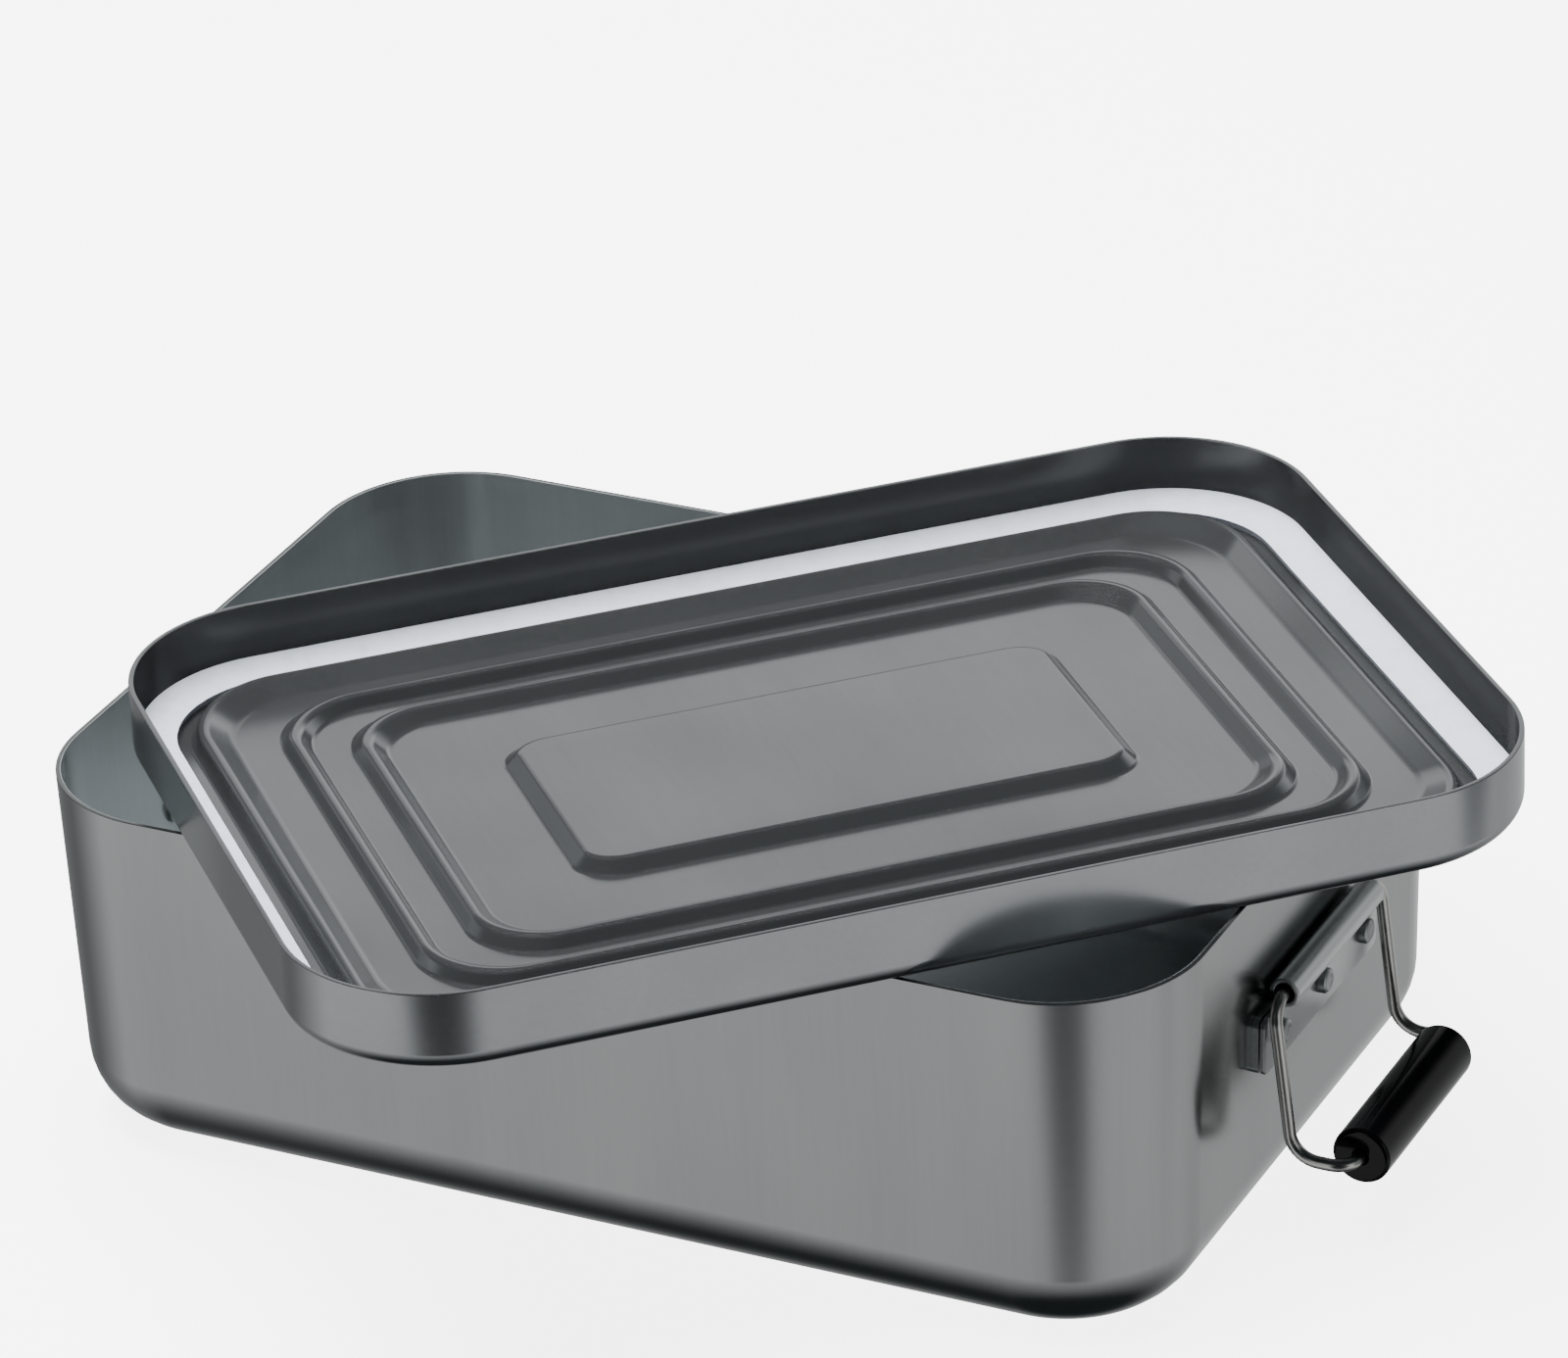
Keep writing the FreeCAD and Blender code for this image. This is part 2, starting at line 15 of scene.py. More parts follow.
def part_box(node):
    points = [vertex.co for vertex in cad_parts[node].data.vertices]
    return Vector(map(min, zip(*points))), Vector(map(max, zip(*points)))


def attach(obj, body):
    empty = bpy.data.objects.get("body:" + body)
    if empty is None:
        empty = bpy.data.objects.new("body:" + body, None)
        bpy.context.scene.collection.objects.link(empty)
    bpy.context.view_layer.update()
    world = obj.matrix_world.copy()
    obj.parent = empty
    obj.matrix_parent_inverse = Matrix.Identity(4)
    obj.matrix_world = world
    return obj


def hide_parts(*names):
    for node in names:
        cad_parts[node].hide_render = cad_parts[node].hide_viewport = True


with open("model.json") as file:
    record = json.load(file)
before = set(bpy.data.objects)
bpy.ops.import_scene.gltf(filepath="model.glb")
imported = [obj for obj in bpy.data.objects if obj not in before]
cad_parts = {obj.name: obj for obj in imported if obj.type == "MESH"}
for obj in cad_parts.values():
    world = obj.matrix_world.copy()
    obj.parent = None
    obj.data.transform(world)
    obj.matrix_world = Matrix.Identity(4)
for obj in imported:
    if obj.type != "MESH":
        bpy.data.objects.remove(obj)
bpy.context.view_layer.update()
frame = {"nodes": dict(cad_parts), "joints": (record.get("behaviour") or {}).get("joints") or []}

MM = 0.001
TINY = 1e-6  # metres: two places nearer than this are one

# %% [markdown]
# ## Working by hand in edit mode
# Every new piece starts as a primitive and is shaped with the same tools that a person would use.
# These helpers only start and finish a piece, and select by place, because a script has no mouse.
# A piece's place goes into its mesh, so that its object stays at the origin.
# %% Starting, selecting and finishing
def start(name, add, **settings):
    """Adds a primitive with nothing else selected, applies its place and opens it in edit mode."""
    bpy.ops.object.select_all(action="DESELECT")
    add(**settings)
    piece = bpy.context.object
    piece.name = piece.data.name = name
    bpy.ops.object.transform_apply(location=True, rotation=True, scale=True)
    bpy.ops.object.mode_set(mode="EDIT")
    return piece


def select(kind, test):
    """Selects vertices, edges or faces of the open mesh by their middle and their normal."""
    bpy.ops.mesh.select_mode(type=kind)
    bpy.ops.mesh.select_all(action="DESELECT")
    mesh = bmesh.from_edit_mesh(bpy.context.edit_object.data)
    for each in {"VERT": mesh.verts, "EDGE": mesh.edges, "FACE": mesh.faces}[kind]:
        if kind == "VERT":
            middle, normal = each.co, each.normal
        elif kind == "EDGE":
            middle, normal = (each.verts[0].co + each.verts[1].co) / 2, None
        else:
            middle, normal = each.calc_center_median(), each.normal
        if test(middle, normal):
            each.select_set(True)
    bmesh.update_edit_mesh(bpy.context.edit_object.data)


def push(step):
    """Extrudes what is selected and moves it."""
    bpy.ops.mesh.extrude_region_move(TRANSFORM_OT_translate={"value": step})


def selected():
    """The places of the selected vertices of the open mesh."""
    mesh = bmesh.from_edit_mesh(bpy.context.edit_object.data)
    return [each.co.copy() for each in mesh.verts if each.select]


def close_up():
    """Merges points that lie on each other, turns every face outwards and leaves edit mode."""
    bpy.ops.mesh.select_all(action="SELECT")
    bpy.ops.mesh.remove_doubles(threshold=TINY)
    bpy.ops.mesh.normals_make_consistent(inside=False)
    bpy.ops.object.mode_set(mode="OBJECT")


def modifier(piece, kind, **settings):
    """Adds a modifier and applies it."""
    added = piece.modifiers.new(kind.title(), kind)
    for name, value in settings.items():
        setattr(added, name, value)
    bpy.context.view_layer.objects.active = piece
    bpy.ops.object.modifier_apply(modifier=added.name)


def only(piece):
    """Selects this piece and no other."""
    bpy.ops.object.select_all(action="DESELECT")
    piece.select_set(True)
    bpy.context.view_layer.objects.active = piece


def settle(piece, turn=0.0, at=(0, 0, 0), axis="Z"):
    """Turns and moves a finished piece, and applies it, so that its object sits at the origin."""
    only(piece)
    piece.rotation_euler = [turn if axis == each else 0.0 for each in "XYZ"]
    piece.location = at
    bpy.ops.object.transform_apply(location=True, rotation=True, scale=True)
    return piece


def smooth(piece, angle):
    """Shades the piece smooth, with its sharp edges kept and its large flat faces kept flat."""
    only(piece)
    bpy.ops.object.shade_smooth_by_angle(angle=radians(angle))
    modifier(piece, "WEIGHTED_NORMAL", keep_sharp=True, weight=80)


def copy_of(piece, name):
    """A copy with its own mesh."""
    twin = piece.copy()
    twin.data = piece.data.copy()
    twin.name = twin.data.name = name
    bpy.context.scene.collection.objects.link(twin)
    return twin


# %% [markdown]
# ## Sheet metal: the section first
# Tray and lid are one sheet each, drawn in a press. A subdivided cube would give soft corners of
# any size; a press gives true arcs. So we describe the section by its corners and round each of
# them with an arc of its own, as a draughtsman does.
# %% Round a section
ARC_STEP = 9  # degrees


def rounded_section(corners):
    """The section's corners, each turned by an arc of its own softness, as (half length, level)."""
    path = [Vector((corners[0][0], corners[0][2]))]
    for before, corner, after in zip(corners, corners[1:], corners[2:]):
        here = Vector((corner[0], corner[2]))
        back = (Vector((before[0], before[2])) - here).normalized()
        ahead = (Vector((after[0], after[2])) - here).normalized()
        half = back.angle(ahead) / 2
        middle = here + (back + ahead).normalized() * (corner[4] / sin(half))
        start = here + back * (corner[4] / tan(half)) - middle
        end = here + ahead * (corner[4] / tan(half)) - middle
        turn = pi - 2 * half
        steps = max(3, round(degrees(turn) / ARC_STEP))
        for each in range(steps + 1):
            share = each / steps
            spoke = start * sin(turn * (1 - share)) + end * sin(turn * share)
            path.append(middle + spoke / sin(turn))
    path.append(Vector((corners[-1][0], corners[-1][2])))
    return path


def between(corners, half_length, column):
    """The half width or the corner radius of the ring with that half length."""
    for before, after in zip(corners, corners[1:]):
        if before[0] >= half_length >= after[0] and before[0] > after[0]:
            share = (before[0] - half_length) / (before[0] - after[0])
            return before[column] + (after[column] - before[column]) * share
    return corners[0][column] if half_length >= corners[0][0] else corners[-1][column]


# %% [markdown]
# ## Sheet metal: ring by ring along the section
# We start from the outline of the rim as one face and follow the section: each step insets that
# face and moves it, which leaves a ring of sheet behind. An inset alone would sharpen the inner
# rings' corners to a point, so the face is inset only until its corners have the right radius,
# and is then resized to the ring's own length and width.
# %% Press a sheet and thicken it
CORNER_STEPS = 24
NEAR = 1e-4  # millimetres: a ring this close to its size needs no resizing


def press(name, corners, facing):
    """Presses a sheet through rings of (half length, half width, level, corner radius, softness).

    All are in millimetres. The sheet's face looks up with facing 1, and down with -1. The last
    ring's face is left selected, in edit mode.
    """
    length, width, level, radius, _ = corners[0]
    piece = start(name, bpy.ops.mesh.primitive_plane_add, size=2, location=(0, 0, 0))
    bpy.ops.transform.resize(value=(length * MM, width * MM, 1))
    bpy.ops.transform.translate(value=(0, 0, level * MM))
    bpy.ops.mesh.bevel(offset=radius * MM, segments=CORNER_STEPS, affect="VERTICES", profile=0.5)
    bpy.ops.mesh.select_all(action="SELECT")
    if facing < 0:
        bpy.ops.mesh.flip_normals()
    for point in rounded_section(corners)[1:]:
        new_width, new_radius = between(corners, point.x, 1), between(corners, point.x, 3)
        shrink = min(point.x / length, 1.0)
        inset = (radius * shrink - new_radius) / (shrink - new_radius / length)
        inset = max(0.0, min(inset, length - point.x, width - new_width))
        bpy.ops.mesh.inset(thickness=inset * MM, depth=facing * (point.y - level) * MM)
        if abs(length - inset - point.x) > NEAR or abs(width - inset - new_width) > NEAR:
            stretch = (point.x / (length - inset), new_width / (width - inset), 1)
            bpy.ops.transform.resize(value=stretch, center_override=(0, 0, point.y * MM))
        radius = (radius - inset) * point.x / (length - inset)
        length, width, level = point.x, new_width, point.y
    return piece


def soften(piece, width, angle):
    """Breaks the edges that are sharper than the angle."""
    modifier(piece, "BEVEL", width=width * MM, segments=2, limit_method="ANGLE",
             angle_limit=radians(angle))


def thicken(piece, thickness, soft, angle):
    """Gives the sheet its thickness behind the pressed side, and breaks its cut edges."""
    bpy.ops.object.mode_set(mode="OBJECT")
    modifier(piece, "SOLIDIFY", thickness=thickness * MM, offset=-1, use_even_offset=True)
    soften(piece, soft, angle)
    smooth(piece, 40)
    print(piece.name, "faces:", len(piece.data.polygons))


# %% [markdown]
# ## The driving sizes
# Length, width and height of the tray come from the frame; the sheet is a millimetre thick.
# %% Measure the frame's tray
low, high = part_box("box_body")
TRAY_LENGTH, TRAY_WIDTH, TRAY_HEIGHT = [(high[each] - low[each]) / MM for each in range(3)]
SHEET = 1.0
print("tray: %.1f x %.1f x %.1f mm" % (TRAY_LENGTH, TRAY_WIDTH, TRAY_HEIGHT))

# %% [markdown]
# ## The tray
# The tray's walls lean out a little, so that it leaves the press. Its outside is followed from the
# rim down, round the bottom bend and in to the flat bottom.
# %% Press the tray
TRAY_CORNER, BOTTOM_BEND, DRAFT, BOTTOM_INSET = 27.4, 14.8, 2.13, 21.0
WALL_LEAN = atan2(DRAFT, TRAY_HEIGHT)
CUT_EDGE = 0.16
print("the walls lean out by %.2f degrees" % degrees(WALL_LEAN))


def tray_ring(inset, level, soft=0.0):
    return (TRAY_LENGTH / 2 - inset, TRAY_WIDTH / 2 - inset, level, TRAY_CORNER - inset, soft)


tray_rings = [tray_ring(0, TRAY_HEIGHT), tray_ring(DRAFT, 0, BOTTOM_BEND), tray_ring(BOTTOM_INSET, 0)]
tray_piece = press("tray", tray_rings, facing=-1)
thicken(tray_piece, SHEET, CUT_EDGE, 60)

# %% [markdown]
# ## The lid
# The lid lies upturned, so the side that shows is its inside: a straight skirt, a channel for the
# seal, three ridges and a raised plaque. Each line is a ring where the section turns, from the
# rim to the plaque; a ridge is the crossing of its two slopes, rounded off by its softness.
# %% Press the lid
LID_PLAY, LID_HEIGHT, LID_INNER_BEND = 0.75, 15.2, 2.4
PANEL, CREST = 2.4, 4.8
skirt = [TRAY_LENGTH / 2 + LID_PLAY, TRAY_WIDTH / 2 + LID_PLAY]
skirt_corner = TRAY_CORNER + LID_PLAY
lid_rings = [
    (*skirt, LID_HEIGHT, skirt_corner, 0),
    (*skirt, SHEET, skirt_corner, LID_INNER_BEND),
    (104.2, 70.2, SHEET, 20.0, 0.9),
    (102.3, 68.3, 5.45, 18.1, 1.6),
    (97.3, 63.3, PANEL, 17.5, 3.0),
    (89.3, 57.4, PANEL, 19.1, 1.0),
    (86.95, 55.05, 5.8, 16.8, 1.5),
    (84.5, 52.6, PANEL, 16.0, 1.0),
    (78.0, 48.2, PANEL, 17.6, 1.0),
    (75.5, 45.7, 5.45, 15.1, 1.6),
    (72.2, 42.4, PANEL, 13.6, 1.6),
    (53.6, 26.9, PANEL, 9.1, 1.2),
    (51.0, 24.3, CREST, 6.5, 1.6),
    (47.0, 20.3, CREST, 4.5, 0)]
lid_piece = press("lid", lid_rings, facing=1)
thicken(lid_piece, SHEET, CUT_EDGE, 70)

# %% [markdown]
# ## The seal
# A flat silicone ring lies in the lid's channel, and its outer edge climbs the bend of the skirt.
# It is followed the same way; the middle face is deleted and the rest made 1.5 mm thick.
# %% Cut the seal
SEAL_PLAY, SEAL_THICK = 0.1, 1.5
seal_rings = [
    (skirt[0] - SEAL_PLAY, skirt[1] - SEAL_PLAY, 4.55, skirt_corner - SEAL_PLAY, 0),
    (113.1, 76.15, 4.55, 27.25, 1.5),
    (106.9, 70.7, 2.7, 20.9, 0)]
seal_piece = press("seal", seal_rings, facing=1)
bpy.ops.mesh.delete(type="FACE")
thicken(seal_piece, SEAL_THICK, 0.3, 50)

# %% [markdown]
# ## Where the lid lies
# The upturned lid lies off centre and turned across the rim. Its turn and its middle come from
# the frame's lid, whose mesh is already in place.
# %% Put the lid down
low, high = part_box("lid_skirt")
lid_middle = (low + high) / 2
LID_TURN = radians(44.5)
for piece in (lid_piece, seal_piece):
    settle(piece, LID_TURN, (lid_middle.x, lid_middle.y, low.z))
print("lid lies at", [round(each / MM, 1) for each in lid_middle])

# %% [markdown]
# ## The leaning wall
# Strips and rivets sit on the end wall, which leans. It is easier to draw them upright at the
# origin, with X out of the wall, and to lean and move them at the end.
# %% Put a piece on the wall
RIVET_LEVEL, RIVET_PITCH = 41.0, 19.5
wall_out = TRAY_LENGTH / 2 - DRAFT * (1 - RIVET_LEVEL / TRAY_HEIGHT)
wall_at = Vector((wall_out, 0, RIVET_LEVEL)) * MM
print("rivet line: %.2f mm from the middle" % wall_out)


def on_wall(piece):
    """Puts a piece that was drawn at the origin, with X out of the wall, on the right end wall."""
    return settle(piece, WALL_LEAN, wall_at, axis="Y")


# %% [markdown]
# ## Hinge strips
# Each end has a steel strip whose middle is curled into a tube for the handle. The strip is drawn
# as a thin sheet: a plane for the leaf, its top edge spun round the wire's axis to make the curl,
# and its two side edges pulled out into the ears that stand past the tube.
# %% Roll the strip
TUBE_OUT, TUBE_UP, TUBE_RADIUS, TUBE_HALF = 3.4, 8.1, 2.85, 20.0
STRIP, EAR, STRIP_DOWN, STRIP_UP = 0.9, 6.5, 6.2, 5.2
LEAF_OUT, EAR_CORNER = 2.4, 1.6
CURL_FOOT, CURL_TURN = 1.65, 318
tube_middle = TUBE_RADIUS - STRIP / 2
leaf_middle = LEAF_OUT - STRIP / 2

strip_piece = start("hinge_strip", bpy.ops.mesh.primitive_plane_add, size=1, rotation=(0, pi / 2, 0))
bpy.ops.transform.resize(value=(1, 2 * TUBE_HALF * MM, (STRIP_DOWN + STRIP_UP) * MM))
bpy.ops.transform.translate(value=(leaf_middle * MM, 0, (STRIP_UP - STRIP_DOWN) / 2 * MM))
curl_start = Vector((-CURL_FOOT, 0, -(tube_middle ** 2 - CURL_FOOT ** 2) ** 0.5)) * MM
curl_centre = Vector((TUBE_OUT, 0, TUBE_UP)) * MM
select("EDGE", lambda middle, normal: middle.z > (STRIP_UP - 0.1) * MM)
bpy.ops.mesh.extrude_region_move()
step_to_curl = curl_centre + curl_start - Vector((leaf_middle, 0, STRIP_UP)) * MM
bpy.ops.transform.translate(value=step_to_curl)
bpy.ops.mesh.spin(steps=30, angle=radians(CURL_TURN), center=curl_centre, axis=(0, 1, 0))
curl_top = max(place.z for place in selected()) / MM
select("EDGE", lambda middle, normal: abs(abs(middle.y) - TUBE_HALF * MM) < TINY
       and middle.z < (STRIP_UP - 1) * MM)
bpy.ops.mesh.extrude_region_move()
bpy.ops.transform.resize(value=(1, (TUBE_HALF + EAR) / TUBE_HALF, 1), center_override=(0, 0, 0))
select("VERT", lambda place, normal: abs(place.y) > (TUBE_HALF + 1) * MM)
bpy.ops.mesh.bevel(offset=EAR_CORNER * MM, segments=5, affect="VERTICES", profile=0.5)
close_up()
modifier(strip_piece, "SOLIDIFY", thickness=STRIP * MM, offset=0, use_even_offset=True)
soften(strip_piece, 0.12, 50)
smooth(strip_piece, 40)
on_wall(strip_piece)
print("the curl's highest point is %.2f mm over the rivet line" % curl_top)

# %% [markdown]
# ## Rivets
# A rivet is turned: a shank, a pan head outside and a set end inside, upset against a washer. One
# cylinder is inset and extruded at both ends, and the six rivets are copies of it.
# %% Turn one rivet
HEAD, HEAD_HIGH, TAIL, SHANK, WASHER = 2.45, 1.7, 2.0, 1.5, 0.7
IN_WALL = SHEET + WASHER


def at_top(sign):
    """Picks the cap at the outer end, or with -1 at the inner end."""
    ends = [each.x for each in selected()]
    end = max(ends) if sign > 0 else min(ends)
    return lambda middle, normal: abs(middle.x - end) < TINY and abs(normal.x) > 0.9


rivet_piece = start("rivet", bpy.ops.mesh.primitive_cylinder_add, vertices=32, radius=SHANK * MM,
                    depth=(IN_WALL + LEAF_OUT) * MM, rotation=(0, pi / 2, 0),
                    location=((LEAF_OUT - IN_WALL) / 2 * MM, 0, 0))


def grow(sign, profile):
    """Extrudes an end cap along a profile of (radius, distance moved)."""
    bpy.ops.mesh.select_all(action="SELECT")
    select("FACE", at_top(sign))
    radius = SHANK
    for new_radius, move in profile:
        push(Vector((sign * move * MM, 0, 0)))
        middle = sum(selected(), Vector()) / len(selected())
        ratio = new_radius / radius
        bpy.ops.transform.resize(value=(1, ratio, ratio), center_override=middle)
        radius = new_radius


grow(1, [(HEAD - 0.12, 0.0), (HEAD, 0.12), (HEAD - 0.08, HEAD_HIGH - 0.6), (HEAD - 0.25, 0.24),
         (HEAD - 0.62, 0.22), (HEAD - 1.0, 0.02), (HEAD - 1.25, -0.14), (HEAD - 1.9, 0.0)])
grow(-1, [(TAIL - 0.25, 0.0), (TAIL, 0.2), (TAIL, 0.25), (TAIL - 0.35, 0.12), (TAIL - 0.32, 0.1),
          (TAIL - 0.1, 0.1), (TAIL - 0.25, 0.22), (TAIL - 0.75, 0.2), (TAIL - 1.5, 0.1)])
bpy.ops.mesh.select_all(action="SELECT")
bpy.ops.mesh.normals_make_consistent(inside=False)
bpy.ops.object.mode_set(mode="OBJECT")
smooth(rivet_piece, 50)
print("rivet: %.1f mm long" % (rivet_piece.dimensions.x / MM))

# %% [markdown]
# ## The wire handle
# The handle is bent from one length of round wire. We do what the wire bender does: a disc of the
# wire's section is pushed straight, then spun round the middle of each bend, and so on to the end.
# It starts inside the grip, runs out along the foot, up the leg and through the tube.
# %% Bend the wire
WIRE, LEG_HALF, LEG_DROP, LEG_LEAN, FOOT_REACH = 1.2, 24.9, 30.5, 6.0, 14.4
END_BEND, FOOT_BEND, WIRE_GAP = 4.0, 5.5, 2.0
pivot = Vector(next(each for each in frame["joints"] if each["name"] == "right_handle_swing")["pos_m"])
knee = LEG_DROP * tan(radians(LEG_LEAN))
half_way = [(FOOT_REACH, WIRE_GAP / 2, -LEG_DROP), (FOOT_REACH, LEG_HALF, -LEG_DROP),
            (knee, LEG_HALF, -LEG_DROP), (0, LEG_HALF, 0)]
there = [Vector((x, -y, z)) for x, y, z in half_way]
back_again = [Vector(each) for each in reversed(half_way)]
corners = [each * MM + pivot for each in there + back_again]
bend_radii = [each * MM for each in (END_BEND, FOOT_BEND, END_BEND, END_BEND, FOOT_BEND, END_BEND)]

bail_piece = start("bail", bpy.ops.mesh.primitive_circle_add, vertices=24, radius=WIRE * MM,
                   fill_type="NGON", rotation=(pi / 2, 0, 0), location=corners[0])
last = corners[0]
for before, corner, after, radius in zip(corners, corners[1:], corners[2:], bend_radii):
    back, ahead = (before - corner).normalized(), (after - corner).normalized()
    half = back.angle(ahead) / 2
    arc_start = corner + back * (radius / tan(half))
    centre = corner + (back + ahead).normalized() * (radius / sin(half))
    push(arc_start - last)
    axis = back.cross(ahead).normalized()
    bpy.ops.mesh.spin(steps=9, angle=pi - 2 * half, center=centre, axis=axis)
    last = corner + ahead * (radius / tan(half))
push(corners[-1] - last)
close_up()
smooth(bail_piece, 45)
print("wire box:", [round(each / MM, 1) for each in bail_piece.dimensions])

# %% [markdown]
# ## The grip
# A moulded sleeve with rounded ends and a small countersunk hole at each end for the wire. A
# cylinder's end edges are bevelled, and its caps are inset and sunk for the holes. The holes stop
# short, because nobody sees into them past the wire.
# %% Mould the grip
GRIP_RADIUS, GRIP_LENGTH, GRIP_SOFT, HOLE = 5.5, 40.9, 0.9, 1.45
grip_middle = pivot + Vector((FOOT_REACH, 0, -LEG_DROP)) * MM
grip_piece = start("grip", bpy.ops.mesh.primitive_cylinder_add, vertices=64, radius=GRIP_RADIUS * MM,
                   depth=GRIP_LENGTH * MM, rotation=(pi / 2, 0, 0))
COUNTERSINK, HOLE_DEPTH = 0.35, 5.0
cap = GRIP_LENGTH / 2 * MM - TINY
flat = GRIP_RADIUS - GRIP_SOFT - HOLE - COUNTERSINK
select("EDGE", lambda middle, normal: abs(middle.y) > cap)
bpy.ops.mesh.bevel(offset=GRIP_SOFT * MM, segments=5, affect="EDGES", profile=0.5)
for side in (-1, 1):
    select("FACE", lambda middle, normal: middle.y * side > cap and abs(normal.y) > 0.99)
    for inwards, deeper in ((flat, 0.0), (0.2, 0.08), (0.15, 0.25), (0.0, HOLE_DEPTH)):
        bpy.ops.mesh.inset(thickness=inwards * MM, depth=-deeper * MM)
bpy.ops.object.mode_set(mode="OBJECT")
smooth(grip_piece, 40)
settle(grip_piece, at=grip_middle)
print("grip: %.1f mm long" % (grip_piece.dimensions.y / MM))

# %% [markdown]
# ## Both ends
# The left end is the right end turned half round. Each copy has its own mesh and rides on the
# body that carries it: strips and rivets on the tray, wires and grips on bodies of their own.
# %% Copy, place and hand over to the frame
steel_pieces, wire_pieces, grip_pieces, rivet_pieces = [], [], [], []
for side, turn in (("right", 0.0), ("left", pi)):
    made = settle(copy_of(strip_piece, side + "_strip"), turn)
    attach(made, "tray")
    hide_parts(side + "_hinge_strip")
    steel_pieces.append(made)
    made = settle(copy_of(bail_piece, side + "_wire"), turn)
    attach(made, side + "_bail")
    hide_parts(side + "_bail")
    wire_pieces.append(made)
    made = settle(copy_of(grip_piece, side + "_sleeve"), turn)
    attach(made, side + "_grip")
    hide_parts(side + "_grip")
    grip_pieces.append(made)
    for number, row in (("1", -1), ("2", 0), ("3", 1)):
        made = copy_of(rivet_piece, "%s_rivet_head_%s" % (side, number))
        settle(made, at=(0, row * RIVET_PITCH * MM, 0))
        settle(on_wall(made), turn)
        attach(made, "tray")
        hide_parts("%s_rivet_%s" % (side, number))
        rivet_pieces.append(made)
for pattern in (strip_piece, bail_piece, grip_piece, rivet_piece):
    bpy.data.objects.remove(pattern)

carried = ((tray_piece, "tray", ["box_body"]),
           (lid_piece, "lid", ["lid_skirt", "lid_panel"]),
           (seal_piece, "lid", ["lid_seal"]))
for piece, body, nodes in carried:
    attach(piece, body)
    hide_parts(*nodes)
print("pieces:", len(steel_pieces + wire_pieces + grip_pieces + rivet_pieces) + len(carried))

# %% [markdown]
# ## Finishes: sums that read like sums
# A procedural material is mostly arithmetic on masks. One small class wraps a socket so that
# 1 - mask or mask * 0.2 adds the Math node for us, and one method adds any other node.
# %% The tools for finishes
class Mask:
    """A number that varies over a surface: the output of a node."""

    def __init__(self, recipe, socket):
        self.recipe, self.socket = recipe, socket

    def sum(self, operation, first, second):
        return self.recipe.node("ShaderNodeMath", {"operation": operation}, {0: first, 1: second})

    def __add__(self, other):
        return self.sum("ADD", self, other)

    def __mul__(self, other):
        return self.sum("MULTIPLY", self, other)

    def __rsub__(self, other):
        return self.sum("SUBTRACT", other, self)

    __radd__, __rmul__ = __add__, __mul__


class Recipe:
    """The nodes behind a finish or a sky."""

    def __init__(self, tree):
        self.tree = tree

    def node(self, kind, settings=None, sockets=None, output=0):
        """Adds a node: its settings come first, then the values or links of its sockets."""
        made = self.tree.nodes.new(kind)
        for name, value in (settings or {}).items():
            setattr(made, name, value)
        for name, value in (sockets or {}).items():
            self.feed(made.inputs[name], value)
        return Mask(self, made.outputs[output])

    def feed(self, socket, value):
        if isinstance(value, Mask):
            self.tree.links.new(value.socket, socket)
        else:
            socket.default_value = value

    def ramp(self, mask, low, high):
        """0 below low, 1 above high, and a straight line between."""
        limits = {"Value": mask, "From Min": low, "From Max": high}
        return self.node("ShaderNodeMapRange", {}, limits)


class Finish(Recipe):
    """A material: its constants are set on the shader, and masks drive what varies."""

    def __init__(self, name, **constants):
        self.material = bpy.data.materials.new(name)
        self.material.use_nodes = True
        super().__init__(self.material.node_tree)
        self.shader = self.tree.nodes["Principled BSDF"]
        for socket, value in constants.items():
            self.shader.inputs[socket.replace("_", " ")].default_value = value
        self.place = self.node("ShaderNodeTexCoord", output="Object")

    def drive(self, **masks):
        for socket, mask in masks.items():
            self.feed(self.shader.inputs[socket.replace("_", " ")], mask)

    def stretched(self, scale, turn=0.0):
        """Object coordinates, scaled along each axis, to draw a noise out into lines."""
        shrink = [1 / each for each in scale]
        return self.node("ShaderNodeMapping", {"vector_type": "TEXTURE"},
                         {"Vector": self.place, "Scale": shrink, "Rotation": (0, 0, turn)})

    def noise(self, scale, detail=3.0, roughness=0.5, at=None):
        """A soft noise; the scale is about how many of its spots fit in a metre."""
        sockets = {"Vector": at or self.place, "Scale": scale, "Detail": detail, "Roughness": roughness}
        return self.node("ShaderNodeTexNoise", {}, sockets)

    def blend(self, factor, first, second):
        """One colour where the factor is 0, the other where it is 1."""
        colours = {0: factor, 6: first, 7: second}
        return self.node("ShaderNodeMix", {"data_type": "RGBA"}, colours, output=2)

    def bump(self, height, distance, under=None):
        """Turns a height from 0 to 1 into a relief of that many metres, over another relief."""
        sockets = {"Height": height, "Distance": distance}
        if under:
            sockets["Normal"] = under
        return self.node("ShaderNodeBump", {}, sockets)


def paint(finish, pieces):
    """Gives pieces their material."""
    for piece in pieces:
        piece.data.materials.clear()
        piece.data.materials.append(finish.material)
